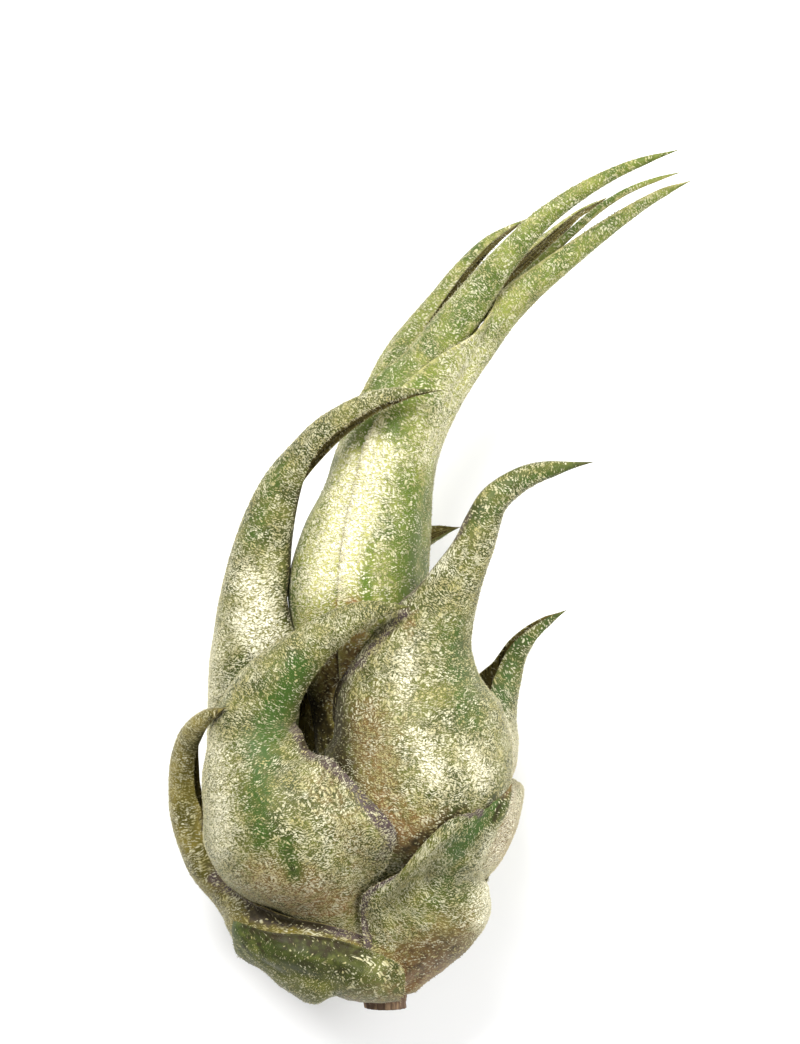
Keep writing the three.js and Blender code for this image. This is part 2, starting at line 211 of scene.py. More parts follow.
MIDRIB = 1.15  # a leaf's thickness along its middle
MARGIN = 0.75  # and towards its edges
EDGE = 0.3  # and at the very edge
BLADE_SHARE = 0.72  # no wall takes more than this share of a thin blade's radius
CLEARANCE = 0.55  # between a sheath and the one that it clasps
ROWS_PER_STATION = 2
ACROSS = 10  # facets across a leaf's solid
CARRIED = 16  # steps from one section to the next in which a leaf's frame is carried
SQUARED = 0.4  # share of a leaf's length over which its sections turn square to it
FINER_ALONG, FINER_ACROSS = 5, 5  # fine steps for each facet

LOWEST, HIGHEST = -46, 103  # heights between which the reach of the leaves is kept
LOOSE = 90  # above this height the blades come loose from each other
DIRECTIONS = 120  # round the axis, in which the reach is kept
SPREAD_ROUND, SPREAD_ALONG = 2, 1  # cells to each side that a cell is combined with
FILL, SKIN_FILL = 14, 3  # steps in which a solid's facet and a skin's facet are filled in
SEAT = 0.25  # the part of the clearance that a leaf's foot does without on the stem

# How an edge is drawn down onto what it clasps: from the first of each two values to the second,
# the pull fades with the distance from the edge, the gap under it, the height and the leaf's length.
PULLED_STRIP, PULLED_GAP, PULLED_HEIGHT, PULLED_LENGTH = (0.5, 6), (3, 7), (LOOSE - 20, LOOSE), (0.5, 0.6)
EDGE_AIR = 0.1  # left under the edge
EVENED = 4  # fine rows to each side over which the pull is evened, twice

# A skin's broad swellings, small ones and ridges: height, and patches along the leaf and across it.
RELIEF = (0.2, (9, 5)), (0.1, (24, 12)), (0.05, (7, 34))
SWOLLEN_WIDTH, RIDGED_WIDTH = (3, 16), (1, 8)  # leaf widths over which they grow to full height
RELIEF_STRIP, THINNED_STRIP = (0, 2.5), (-1.2, 2.5)  # from an edge in, where relief and wall grow
# Share of its length over which a leaf narrows to its point, the width left there, and its curve.
POINTED, POINT_LEFT, POINT_CURVE = 0.06, 0.003, 0.6

EYE = np.array([7.6, 53.6, 700.0])  # where the camera stands, straight above the plant

# How far out from the axis the leaves so far lie, at each height and in each direction.
reach = np.zeros((HIGHEST - LOWEST + 1, DIRECTIONS))
skin_reach = np.zeros_like(reach)  # the same for the fine skins
stem_heights = np.arange(np.ceil(STEM_OUTLINE[0, 0]), STEM_OUTLINE[-1, 0] + 1)
stem_radii = np.interp(stem_heights, STEM_OUTLINE[:, 0], STEM_OUTLINE[:, 1])
reach[stem_heights.astype(int) - LOWEST] = stem_radii[:, None] - SEAT


def smoothed(value, low, high):
    """0 below low, 1 above high, and a smooth step between."""
    t = np.clip((value - low) / (high - low), 0, 1)
    return t * t * (3 - 2 * t)


def unit(vectors):
    """Vectors divided by their lengths."""
    return vectors / np.maximum(np.linalg.norm(vectors, axis=-1, keepdims=True), 1e-12)


def through(rows, at):
    """A smooth curve through evenly spaced rows of numbers, read at each share of its length. Between
    two rows it is a cubic, whose slope at each row is half the step between that row's neighbours."""
    last = len(rows) - 1
    ends = np.concatenate([[2 * rows[0] - rows[1]], rows, [2 * rows[-1] - rows[-2]]])
    i = np.minimum((at * last).astype(int), last - 1)
    w = (at * last - i).reshape(-1, *[1] * (rows.ndim - 1))
    a, b, c, d = (ends[i + k] for k in range(4))
    return b + 0.5 * w * (c - a + w * (2 * a - 5 * b + 4 * c - d + w * (3 * (b - c) + d - a)))


def sections_of(stations, rows):
    """A leaf's sections, from foot to tip: centre, up, right, radius, and directions of its points.

    A section stands square to the plant's axis at the foot and square to the leaf's own line
    further on, and its up direction is carried along without twisting.
    """
    fine = rows * CARRIED
    u = np.arange(fine + 1) / fine
    line = unit(
        through(stations[:, :3], np.minimum(u + 0.5 / fine, 1))
        - through(stations[:, :3], np.maximum(u - 0.5 / fine, 0))
    )
    square = smoothed(u, 0, SQUARED)[:, None]
    along = unit(np.array([0.0, 1.0, 0.0]) * (1 - square) + line * square)
    ups = np.empty_like(along)
    up = np.array([0.0, 0.0, 1.0])
    for step, way in enumerate(along):
        up = unit(up - way * (up @ way))
        ups[step] = up
    here = slice(0, None, CARRIED)
    values = through(stations, u[here])
    turn = np.linspace(0, 1, ACROSS + 1)
    directions = np.radians(values[:, 4:5] + (values[:, 5:6] - values[:, 4:5]) * turn)
    return values[:, :3], ups[here], np.cross(along[here], ups[here]), values[:, 3:4], directions


def about_axis(points):
    """In which direction from the plant's axis points lie, counted in cells, and how far out."""
    right = points[..., 0] - axis_x(points[..., 1])
    cell = np.arctan2(right, points[..., 2]) / (2 * np.pi) * DIRECTIONS
    return cell, np.hypot(right, points[..., 2])


def add_reach(found, face, fill):
    """Counts a face, with each facet filled in, into a reach: the furthest out in each cell."""
    share = np.arange(fill + 1) / fill
    b = share[:, None, None, None, None]
    a = share[None, :, None, None, None]
    near = face[:-1, :-1] + (face[:-1, 1:] - face[:-1, :-1]) * b
    far = face[1:, :-1] + (face[1:, 1:] - face[1:, :-1]) * b
    points = (near + (far - near) * a).reshape(-1, 3)
    row = np.floor(points[:, 1] + 0.5).astype(int) - LOWEST
    counted = (row >= 0) & (row < len(found))
    points, row = points[counted], row[counted]
    cell, out = about_axis(points)
    np.maximum.at(found, (row, np.floor(cell + 0.5).astype(int) % DIRECTIONS), out)


def spread(found, combine):
    """The reach with each cell combined with its neighbours, by np.max or np.mean."""
    rows = [np.roll(found, k, 1) for k in range(-SPREAD_ROUND, SPREAD_ROUND + 1)]
    padded = np.pad(np.stack(rows), ((0, 0), (SPREAD_ALONG, SPREAD_ALONG), (0, 0)), mode="edge")
    shifted = [padded[:, k : k + len(found)] for k in range(2 * SPREAD_ALONG + 1)]
    return combine(np.concatenate(shifted), axis=0)


def reach_under(found, points):
    """The reach in the direction and at the height of each point, read between its cells."""
    cell, _ = about_axis(points)
    height = np.clip(points[..., 1] - LOWEST, 0, len(found) - 1)
    i = np.minimum(height.astype(int), len(found) - 2)
    k = np.floor(cell).astype(int)
    t, s = height - i, cell - k
    rows = [found[j, k % DIRECTIONS] * (1 - s) + found[j, (k + 1) % DIRECTIONS] * s for j in (i, i + 1)]
    return rows[0] * (1 - t) + rows[1] * t


def moved_out(points, push):
    """Points with their distance from the axis multiplied."""
    middle = axis_x(points[..., 1])
    x = middle + (points[..., 0] - middle) * push
    return np.stack([x, points[..., 1], points[..., 2] * push], -1)


def draped(points):
    """Points moved out from the axis to where they clear what lies under them: to the reach plus the
    clearance, if they aren't that far out already, and less where the blades come loose."""
    under = reach_under(spread(spread(reach, np.max), np.mean), points)
    _, out = about_axis(points)
    needed = (under > 0) & (out < under + CLEARANCE)
    hold = 1 - smoothed(points[..., 1], LOOSE, HIGHEST)
    push = (under + CLEARANCE) / np.maximum(out, 1e-9)
    return moved_out(points, np.where(needed, 1 + hold * (push - 1), 1))


def evened(values, steps):
    """Numbers on a grid, each the mean of those up to so many steps before and behind it."""
    padded = np.pad(values, ((steps, steps), (0, 0)), mode="edge")
    return np.mean([padded[k : k + len(values)] for k in range(2 * steps + 1)], axis=0)


def hugging(outer, from_edge, u):
    """Draws a sheath's edges down onto what they clasp. Towards an edge, and where the gap is small,
    a point comes to lie an edge's thickness off the reach of what lies under it. The move is evened
    along the leaf, so that the edge stays smooth where it crosses other edges. The blade is free."""
    under = reach_under(skin_reach, outer)
    _, out = about_axis(outer)
    gap = out - under - EDGE - EDGE_AIR
    near = 1 - smoothed(from_edge, *PULLED_STRIP)
    pull = near * (1 - smoothed(gap, *PULLED_GAP)) * (under > CLEARANCE)
    pull = pull * (1 - smoothed(outer[..., 1], *PULLED_HEIGHT))
    pull = pull * (1 - smoothed(u, *PULLED_LENGTH))[:, None]
    move = evened(evened(pull * gap, EVENED), EVENED)
    return moved_out(outer, 1 - move / np.maximum(out, 1e-9))


def steps_along(grid):
    """From the point before each row of a grid to the one after it, and at the ends to the row."""
    return np.concatenate([grid[1:2] - grid[:1], grid[2:] - grid[:-2], grid[-1:] - grid[-2:-1]])


def facing(grid):
    """The outward direction at each point of a grid that runs along the leaf and across it: square
    to the steps across and the steps along."""
    across = np.swapaxes(steps_along(np.swapaxes(grid, 0, 1)), 0, 1)
    return unit(np.cross(across, steps_along(grid)))


def coarse_face(stations):
    """The leaf's outer face as its own solid has it: an arc about each section's centre, draped
    over what it clasps and raised by the thickness of the wall."""
    rows = (len(stations) - 1) * ROWS_PER_STATION
    centre, up, right, radius, turn = sections_of(stations, rows)
    t = np.linspace(-1, 1, ACROSS + 1)
    wall = np.minimum(MIDRIB + (MARGIN - MIDRIB) * t * t, radius * BLADE_SHARE)
    out = (radius - wall)[..., None]
    inner = centre[:, None] + out * (
        right[:, None] * np.sin(turn)[..., None] + up[:, None] * np.cos(turn)[..., None]
    )
    inner = draped(inner)
    outward = facing(inner)
    outward[0] = unit(outward[0] * [1, 0, 1])  # the foot is cut off square to the axis
    outer = inner + outward * wall[..., None]
    outer[..., 2] = np.maximum(outer[..., 2], TABLE)
    return outer, wall


def patches(shape, cells, seed):
    """Soft random patches between -1 and 1 on a grid: a few random numbers, smoothly spread."""
    numbers = np.random.default_rng(seed).uniform(-1, 1, (cells[0] + 1, cells[1] + 1))
    rows = through(numbers, np.linspace(0, 1, shape[0]))
    return through(rows.T.copy(), np.linspace(0, 1, shape[1])).T


def grow(name, stations, seed):
    """Works out a leaf's fine faces. The outer one runs smoothly through the solid's own points, its
    edges drawn down, with faint swellings and ridges, and narrows to a point at the tip. The inner
    one lies a wall below, and the wall thins to the edges."""
    coarse, wall = coarse_face(np.array(stations, float))
    rows, columns = (len(coarse) - 1) * FINER_ALONG + 1, ACROSS * FINER_ACROSS + 1
    u, v = np.linspace(0, 1, rows), np.linspace(0, 1, columns)

    def finer(grid):
        """The grid with smooth curves through it, first along the leaf and then across."""
        return np.swapaxes(through(np.swapaxes(through(grid, u), 0, 1), v), 0, 1)

    outer = finer(coarse)
    width = np.linalg.norm(np.diff(outer, axis=1), axis=-1).sum(1)[:, None]
    from_edge = np.minimum(v, 1 - v) * width
    outer = hugging(outer, from_edge, u)
    add_reach(reach, coarse, FILL)
    shape = outer.shape[:2]
    broad, small, ridges = (
        height * patches(shape, cells, seed + k) for k, (height, cells) in enumerate(RELIEF)
    )
    relief = (broad + small) * smoothed(width, *SWOLLEN_WIDTH) + ridges * smoothed(width, *RIDGED_WIDTH)
    relief = relief * smoothed(from_edge, *RELIEF_STRIP)
    outer = outer + facing(outer) * relief[..., None]
    outer[..., 2] = np.maximum(outer[..., 2], TABLE)
    thick = finer(wall[..., None])[..., 0]
    edge = np.minimum(thick, EDGE)
    thick = edge + (thick - edge) * smoothed(from_edge, *THINNED_STRIP)
    outward = facing(outer)
    add_reach(skin_reach, outer, SKIN_FILL)
    inner = outer - outward * thick[..., None]
    middle = (outer.mean(1, keepdims=True) + inner.mean(1, keepdims=True)) / 2
    narrow = (np.clip((1 - u) / POINTED, POINT_LEFT, 1) ** POINT_CURVE)[:, None, None]
    outer, inner = middle + (outer - middle) * narrow, middle + (inner - middle) * narrow
    inner[..., 2] = np.maximum(inner[..., 2], TABLE + thick * narrow[..., 0])
    steps = np.linalg.norm(np.diff(outer[:, columns // 2], axis=0), axis=-1)
    length = np.concatenate([[0], steps.cumsum()])[:, None]
    none = np.zeros(shape)
    return dict(
        name=name, seed=seed, outer=outer, inner=inner, outward=outward, from_edge=from_edge,
        width=width + none, length=length + none, u=u[:, None] + none, v=v + none,
    )


def leaf_ring(leaf):
    """The leaf's skin as rows of points that each run once round its section: out over the outer
    face, round the lip at the right edge, back over the inner face and round the left lip. A lip
    is half a circle as thick as the edge."""
    outer, inner = leaf["outer"], leaf["inner"]
    middle, half = (outer + inner) / 2, (outer - inner) / 2
    radius = np.linalg.norm(half, axis=-1, keepdims=True)
    lips = {}
    for side, (edge, beside) in {"left": (0, 1), "right": (-1, -2)}.items():
        away = unit(outer[:, edge] - outer[:, beside]) * radius[:, edge]
        for part, turn in (("outer", np.pi / 3), ("inner", 2 * np.pi / 3)):
            lip = middle[:, edge] + half[:, edge] * np.cos(turn) + away * np.sin(turn)
            lips[side, part] = lip[:, None]
    rings = [lips["left", "outer"], outer, lips["right", "outer"], lips["right", "inner"], inner[:, ::-1]]
    ring = np.concatenate([*rings, lips["left", "inner"]], 1)
    ring[..., 2] = np.maximum(ring[..., 2], TABLE)
    return ring


def around(outer, inner):
    """Numbers on a leaf's outer and inner faces, laid out as leaf_ring lays out the points."""
    right_lip = outer[:, -1:], inner[:, -1:]
    return np.concatenate([outer[:, :1], outer, *right_lip, inner[:, ::-1], inner[:, :1]], 1)


# How uneven strokes and bands are: by what share, and how many patches lie along the leaf and across.
STROKE_UNEVEN, BAND_UNEVEN = (0.3, (30, 16)), (0.4, (26, 6))
MARKED = -0.2, 0.15  # a stroke fades out between these heights of the skin's outward direction
BAND_BEFORE, BAND_AFTER = 0.06, 0.04  # shares of a leaf's length over which a band's ends fade
BAND_SOLID = 0.3  # the share of its width over which a band is full


def strokes(leaf, marks):
    """How much each point of the outer face lies in one of the marks, as the camera sees them.

    A mark is x, y, x, y, half width, strength: a stroke between two places on the level of the
    axis. The share falls as a bell curve from its strength on the stroke's line to an eighth of
    that at its half width, which varies with soft patches. Strength is 1 if it isn't given. Skin
    that faces away from the camera isn't marked.
    """
    amount, cells = STROKE_UNEVEN
    outer = leaf["outer"]
    seen = EYE[:2] + (outer[..., :2] - EYE[:2]) * (EYE[2] / (EYE[2] - outer[..., 2:]))
    uneven = 1 + amount * patches(outer.shape[:2], cells, leaf["seed"] + 7)
    found = np.zeros(outer.shape[:2])
    for x0, y0, x1, y1, half_width, *given in marks:
        start, way = np.array([x0, y0]), np.array([x1 - x0, y1 - y0])
        share = np.clip(((seen - start) @ way) / max(way @ way, 1e-9), 0, 1)[..., None]
        distance = np.linalg.norm(seen - start - share * way, axis=-1) * uneven
        strength = given[0] if given else 1
        found = np.maximum(found, strength * np.exp(-2 * (distance / half_width) ** 2))
    return found * smoothed(leaf["outward"][..., 2], *MARKED)


def band(leaf, bands):
    """How much each point lies in one of the bands along an edge: side, from and to as shares of
    the leaf's length, and width. A band fades at its ends, and across from its solid part."""
    amount, cells = BAND_UNEVEN
    found = np.zeros(leaf["v"].shape)
    for side, low, high, width in bands:
        across = (leaf["v"] if side == "left" else 1 - leaf["v"]) * leaf["width"]
        uneven = 1 + amount * patches(found.shape, cells, leaf["seed"] + 11)
        begun = smoothed(leaf["u"], low - BAND_BEFORE, low + BAND_AFTER)
        ended = smoothed(leaf["u"], high - BAND_AFTER, high + BAND_BEFORE)
        full = 1 - smoothed(across * uneven, BAND_SOLID * width, width)
        found = np.maximum(found, begun * (1 - ended) * full)
    return found


def scale_flecks():
    """Node group: pale flecks that lie across a leaf. Each is a cell of a stretched pattern of cells,
    bent by soft noise. A cell is pale if its own random number is under the cover. Length and width
    are a fleck's, in metres."""
    group = bpy.data.node_groups.new("scale_flecks", "ShaderNodeTree")
    for name, value in (("Cover", 0.6), ("Length", 0.0005), ("Width", 0.00025)):
        socket = group.interface.new_socket(name, in_out="INPUT", socket_type="NodeSocketFloat")
        socket.default_value = value
    for name in ("Mask", "Height"):
        group.interface.new_socket(name, in_out="OUTPUT", socket_type="NodeSocketFloat")
    given = node(group, "NodeGroupInput").outputs
    place = node(group, "ShaderNodeTexCoord").outputs["Object"]
    shift = sums(group, "MULTIPLY_ADD", noise(group, place, 420.0, 1.0), 0.0022, -0.0011)
    across = sums(group, "DIVIDE", mask(group, "across"), given["Length"])
    along = sums(group, "DIVIDE", sums(group, "ADD", mask(group, "along"), shift), given["Width"])
    spot = node(group, "ShaderNodeCombineXYZ", {0: across, 1: along, 2: mask(group, "inside")}).outputs[0]
    cells = node(group, "ShaderNodeTexVoronoi", {"Vector": spot, "Scale": 1.0, "Randomness": 1.0})
    lot = node(group, "ShaderNodeSeparateColor", {0: cells.outputs["Color"]}).outputs[0]
    chosen = between(group, sums(group, "SUBTRACT", given["Cover"], lot), -0.04, 0.08)
    pale = sums(group, "MULTIPLY", chosen, between(group, cells.outputs["Distance"], 0.8, 0.3))
    raised = sums(group, "MULTIPLY", pale, sums(group, "ADD", lot, 0.6))
    node(group, "NodeGroupOutput", {"Mask": pale, "Height": raised})
    return group


def ragged_stain():
    """Node group: a stain's share with a ragged edge, from noise of many sizes added to it."""
    group = bpy.data.node_groups.new("ragged_stain", "ShaderNodeTree")
    group.interface.new_socket("Share", in_out="INPUT", socket_type="NodeSocketFloat")
    group.interface.new_socket("Share", in_out="OUTPUT", socket_type="NodeSocketFloat")
    given = node(group, "NodeGroupInput").outputs
    place = node(group, "ShaderNodeTexCoord").outputs["Object"]
    rag = sums(group, "MULTIPLY_ADD", noise(group, place, 700.0, 5.0), 1.6, -0.8)
    ragged = between(group, sums(group, "ADD", given["Share"], rag), 0.1, 1.1)
    kept = sums(group, "MULTIPLY", ragged, between(group, given["Share"], 0.0, 0.12))
    node(group, "NodeGroupOutput", {"Share": kept})
    return group


SCALE_FLECKS = scale_flecks()
RAGGED_STAIN = ragged_stain()
WHITE, SILVER, CREAM = "#fdf8df", "#ddd8b8", "#b5ab74"
# The stains that every leaf may have, and the colours that they turn its skin. The dark one is
# both the dark of old tissue and tips and painted shade in creases and hollows.
BLUSH, DARK_AND_SHADE, MAUVE = "#7c5a34", "#2a230e", "#4a3d3c"
SOFT_EDGE, INNER, GROOVE = "#a39c66", "#756a38", "#3a3214"

# What the fur does to the light that grazes a leaf: little gloss, and a pale rim.
FURRED = {
    "Specular IOR Level": 0.16, "Sheen Weight": 0.1, "Sheen Roughness": 0.5,
    "Sheen Tint": colour("#f4eed2"),
}


def leaf_surface(name, deep, pale, bright, rubbed, dry):
    """Leaf skin: green tissue mottled by noise, with veins of stretched noise, stained one after the
    other by the leaf's masks, under flecks that are whiter where the bright mask is. The dark mask
    both darkens the leaf's own dark patches and tips and paints shade into creases and hollows."""
    material, tree = shader(name)
    place = node(tree, "ShaderNodeTexCoord").outputs["Object"]
    mottle = between(tree, noise(tree, place, 160.0, 5.0), 0.36, 0.64)
    tissue = mixed(tree, mottle, colour(deep), colour(pale))
    on_leaf = {0: mask(tree, "across"), 1: mask(tree, "along")}
    vein_place = node(tree, "ShaderNodeCombineXYZ", on_leaf).outputs[0]
    stretched = node(tree, "ShaderNodeMapping", {"Vector": vein_place, "Scale": (2200, 90, 1)}).outputs[0]
    vein = noise(tree, stretched, 1.0)
    veined = sums(tree, "MULTIPLY", between(tree, vein, 0.5, 0.7), 0.35)
    tissue = mixed(tree, veined, tissue, colour(deep))
    stains = {
        "bright": bright, "dry": dry, "green": rubbed, "blush": BLUSH, "mauve": MAUVE,
        "dark": DARK_AND_SHADE, "edge": SOFT_EDGE, "inside": INNER,
    }
    for stain, code in stains.items():
        ragged = node(tree, "ShaderNodeGroup", {"Share": mask(tree, stain)}, node_tree=RAGGED_STAIN)
        tissue = mixed(tree, ragged.outputs["Share"], tissue, colour(code))
    grooved = sums(tree, "MULTIPLY", between(tree, vein, 0.5, 0.38), mask(tree, "inside"))
    tissue = mixed(tree, grooved, tissue, colour(GROOVE))
    flecks = node(tree, "ShaderNodeGroup", {"Cover": mask(tree, "cover")}, node_tree=SCALE_FLECKS)
    shade = between(tree, noise(tree, place, 300.0), 0.35, 0.65)
    scale = mixed(tree, shade, colour(CREAM), colour(SILVER))
    scale = mixed(tree, mask(tree, "bright"), scale, colour(WHITE))
    strong = sums(tree, "MULTIPLY_ADD", mask(tree, "bright"), 0.25, 0.7)
    base = mixed(tree, sums(tree, "MULTIPLY", flecks.outputs["Mask"], strong), tissue, scale)
    rough = sums(tree, "MULTIPLY_ADD", flecks.outputs["Mask"], 0.25, 0.5)
    height = sums(tree, "MULTIPLY_ADD", vein, 0.4, flecks.outputs["Height"])
    surface(tree, base, rough, height, 0.00012, **FURRED)
    return material


def scale_surface():
    """The scales themselves: dry and a little glossy, silver or cream by their own toss, and tinted
    by the skin that they stand on."""
    material, tree = shader("silver_scales")
    base = mixed(tree, mask(tree, "toss"), colour(CREAM), colour(SILVER))
    # The dark tint carries the skin's painted shade in creases and hollows onto the scales.
    tints = (
        ("bright", WHITE, 0.8), ("mauve", "#a39a98", 0.4), ("green", "#7a8a4e", 0.55),
        ("dry", "#b09a66", 0.6), ("blush", "#a9826a", 0.5), ("dark", "#332a14", 0.95),
    )
    for stain, code, most in tints:
        base = mixed(tree, sums(tree, "MULTIPLY", mask(tree, stain), most), base, colour(code))
    place = node(tree, "ShaderNodeTexCoord").outputs["Object"]
    grain = noise(tree, place, 6000.0, 1.0)
    rough = sums(tree, "MULTIPLY_ADD", grain, 0.3, 0.4)
    surface(tree, base, rough, grain, 0.00002, **{"Specular IOR Level": 0.3})
    return material


SCALE_SURFACE = scale_surface()
SCALES = {}  # what the scales of each leaf need, until all the skins are made

FOOT, FOOT_DRY = 0.3, 0.6  # the share of its length over which a leaf's foot is dry, and how dry
TIP, TIP_DARK, TIP_BARE = 0.9, 0.5, 0.6  # where a leaf's tip begins, how dark it is and how bare
PALE_STRIP = 0.2, 1.1  # distances from an edge between which its pale line ends
UNEVEN_COVER, BRIGHT_COVER = 0.1, 0.3  # how much patches and bright strokes change the cover
# The dark marks that take off cover here are partly painted shade.
BARED = {"green": 0.76, "dark": 0.75, "blush": 0.4, "mauve": 0.35}  # the cover that a stain takes off
INNER_STAINS, INNER_COVER = 0.3, 0.4  # the shares of them that the inner face has


def dress(leaf, skin, cover, mauve=(), edge=0.0, **marks):
    """Makes the leaf's skin, with its masks, and keeps what its scales will need.

    skin is its material and slot. marks gives the strokes of each stain: bright, dry, green, blush, dark
    and purple, and mauve the bands along the edges. The dark strokes are partly the leaf's own dark
    patches and partly painted shade in creases and hollows. edge is how pale the line along the edges
    is. cover is the share that the scales hide, which varies in soft patches. It is more where the
    leaf is bright, and less where it is rubbed, stained or painted with shade, and at the tip.
    """
    material, slot = skin
    shape = leaf["v"].shape
    uneven = patches(shape, (16, 9), leaf["seed"] + 3) + 0.7 * patches(shape, (45, 26), leaf["seed"] + 4)
    tip = smoothed(leaf["u"], TIP, 1)
    stroked = ("bright", "dry", "green", "blush", "dark")
    masks = {key: strokes(leaf, marks.get(key, ())) for key in stroked}
    masks["dry"] = np.maximum(masks["dry"], FOOT_DRY * (1 - smoothed(leaf["u"], 0.0, FOOT)))
    masks["dark"] = np.maximum(masks["dark"], TIP_DARK * tip)
    masks["mauve"] = np.maximum(band(leaf, mauve), strokes(leaf, marks.get("purple", ())))
    masks["edge"] = edge * (1 - smoothed(leaf["from_edge"], *PALE_STRIP))
    masks["cover"] = np.clip(cover + UNEVEN_COVER * uneven + BRIGHT_COVER * masks["bright"], 0, 1)
    for stain, most in BARED.items():
        masks["cover"] = masks["cover"] * (1 - most * masks[stain])
    masks["cover"] = masks["cover"] * (1 - TIP_BARE * tip)
    found = {key: around(values, INNER_STAINS * values) for key, values in masks.items()}
    found["cover"] = around(masks["cover"], INNER_COVER * masks["cover"])
    outside = np.zeros(shape)
    found["inside"] = around(outside, outside + 1)
    found["along"] = around(leaf["length"], leaf["length"]) * MM
    across = (leaf["v"] - 0.5) * leaf["width"] * MM
    found["across"] = around(across, across)
    ring = leaf_ring(leaf)
    flat = {key: values.ravel() for key, values in found.items()}
    faces = ring_faces(*ring.shape[:2])
    piece = new_piece(leaf["name"] + "_skin", ring.reshape(-1, 3), faces, material, flat)
    piece.data.shade_smooth()
    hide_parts(leaf["name"])
    SCALES[leaf["name"]] = dict(leaf=leaf, ring=ring, slot=slot, masks=found)


YOUNG_SKIN = leaf_surface(
    "young_leaf_skin", deep="#46551f", pale="#777d36", bright="#adab60", rubbed="#50641e", dry="#8f7f44",
), "young_leaf"

core = grow("shaft_core", seed=10, stations=[
    [0, -12.2, 0, 3.2, -180, 60], [0, 15, 0, 3, -180, 60], [-0.5, 40, 0, 3.6, -180, 60],
    [2.5, 58, 0, 3.2, -180, 60], [7.5, 73, 0, 2.4, -180, 60], [15, 86, -0.6, 1.8, -180, 60],
    [31, 101, -0.8, 1.3, -180, 60], [46, 115, -0.5, 0.9, -180, 60], [55, 120.6, 0, 0.7, -180, 60],
    [63.8, 123.4, 1.5, 0.35, -180, 60],
])
inner = grow("shaft_inner", seed=20, stations=[
    [0, -14.6, 0, 4.7, -180, 40], [0, 15, 0, 5.4, -180, 40], [-0.5, 40, 0, 6.4, -180, 40],
    [2.5, 58, 0, 5.4, -180, 40], [7.2, 73, 0, 4.2, -180, 40], [14, 86, -1, 3.4, -195, -15],
    [26, 99, -3.8, 2.6, -215, -40], [37, 109.6, -6, 1.9, -225, -30], [44, 115.6, -8, 1.2, -225, -30],
    [49.8, 119.4, -9.5, 0.35, -225, -30],
])
left = grow("shaft_left", seed=30, stations=[
    [0.4, -17.3, 0, 6.2, -185, 15], [0, 15, 0, 8, -185, 15], [-0.5, 40, 0, 9.4, -185, 15],
    [1.5, 58, -1, 8, -185, 15], [4.6, 73, -1.5, 6.8, -185, 15], [8.2, 85.4, -2.5, 4.6, -190, 10],
    [16.2, 97.4, -5.5, 3.4, -200, 0], [25, 108.6, -8, 2.3, -200, 0], [34.6, 115.6, -11, 0.35, -200, 0],
])
front = grow("shaft_front", seed=40, stations=[
    [0.8, -20, 0, 8.3, -130, 70], [-0.5, 15, 1, 9.6, -130, 70], [-2.2, 40, 1, 12.8, -130, 70],
    [1.8, 58, 1, 10, -130, 70], [6, 72, 2, 8, -110, 80], [13, 84, 2.5, 5.8, -85, 95],
    [24.2, 100.6, 4.5, 3.3, -100, 110], [36, 113.7, 6.5, 2.1, -110, 140],
    [50, 122.6, 9, 1.3, -110, 140], [62.8, 127, 11, 0.35, -110, 140],
])
right = grow("shaft_right", seed=50, stations=[
    [1.3, -22.8, 0, 9.4, -20, 190], [0, 15, 0, 11, -20, 190], [-0.2, 40, 0, 13.2, -18, 190],
    [3.2, 58, 0, 10.9, -26, 190], [7.4, 70, 0, 8.8, -34, 190], [14.4, 80.6, 0.5, 6.6, -40, 190],
    [21.6, 88.8, 0.5, 4.9, -45, 190], [29.6, 97.6, 0.5, 3.7, -50, 190], [42.2, 107.8, 0, 2.6, -50, 190],
    [56.4, 117.8, -1.5, 1.5, -50, 190], [66.4, 122.4, -3.5, 0.35, -50, 190],
])
# Painted shade in the hollow between the front leaves, where the shaft is also brown and bare.
HOLLOW_SHADE = [(-10, 18, -5, 6, 5), (-7, 20, -3, 28, 4, 0.7)]

# The free blades are greener than the shaft.
BLADES = [(18, 92, 34, 108, 9, 0.4), (34, 108, 64, 126, 12, 0.5)]

dress(core, YOUNG_SKIN, cover=0.56, edge=0.6, green=BLADES)
dress(inner, YOUNG_SKIN, cover=0.6, edge=0.6, green=BLADES)
dress(
    left, YOUNG_SKIN, cover=0.6, edge=0.5,
    green=[*BLADES, (4, 76, 16, 96, 4, 0.6)],
    dark=HOLLOW_SHADE,
)
dress(
    front, YOUNG_SKIN, cover=0.6, edge=0.6,
    green=[*BLADES, (0, 70, 7, 84, 5, 0.7), (-10, 60, -7, 66, 3, 0.6)],
    dry=[(-8, 12, -2, 32, 9)],
    blush=[(-5.5, 33, -3.5, 38, 2.4), (-9, 16, -3, 28, 4, 0.6)],
    bright=[(-8, 42, -1, 66, 7)],
    dark=HOLLOW_SHADE,
)
dress(
    right, YOUNG_SKIN, cover=0.66, edge=0.7,
    green=[
        (1.5, 47.8, 1.7, 46.6, 1.8), (0.6, 43, 0.9, 38, 2), (9, 36, 10, 60, 6, 0.8),
        (6, 72, 14, 88, 4, 0.75), *BLADES,
    ],
    dry=[(-8, 12, -2, 32, 9)],
    blush=[(-3.4, 33, -1.8, 37, 2), (-5, 20, -1, 30, 4, 0.6)],
    bright=[(-4, 44, 2, 68, 7), (15, 68, 23, 88, 6, 0.55), (5, 64, 9, 52, 3, 0.4)],
    # Painted shade: the hollow, and a strip beside the right front leaf's blade.
    dark=[*HOLLOW_SHADE, (11, 33, 12, 40, 2.5)],
)


# --- The leaves behind ---------------------------------------------------------------------------
# Two older leaves under the shaft, which lie flat under the plant's weight. Only the dark tip of
# one of them shows from above. They clasp the shaft's foot as all the older leaves do.

OLD_SKIN = leaf_surface(
    "old_leaf_skin", deep="#3a4018", pale="#5e602c", bright="#7d7a48", rubbed="#344c17", dry="#6e5730",
), "leaf"

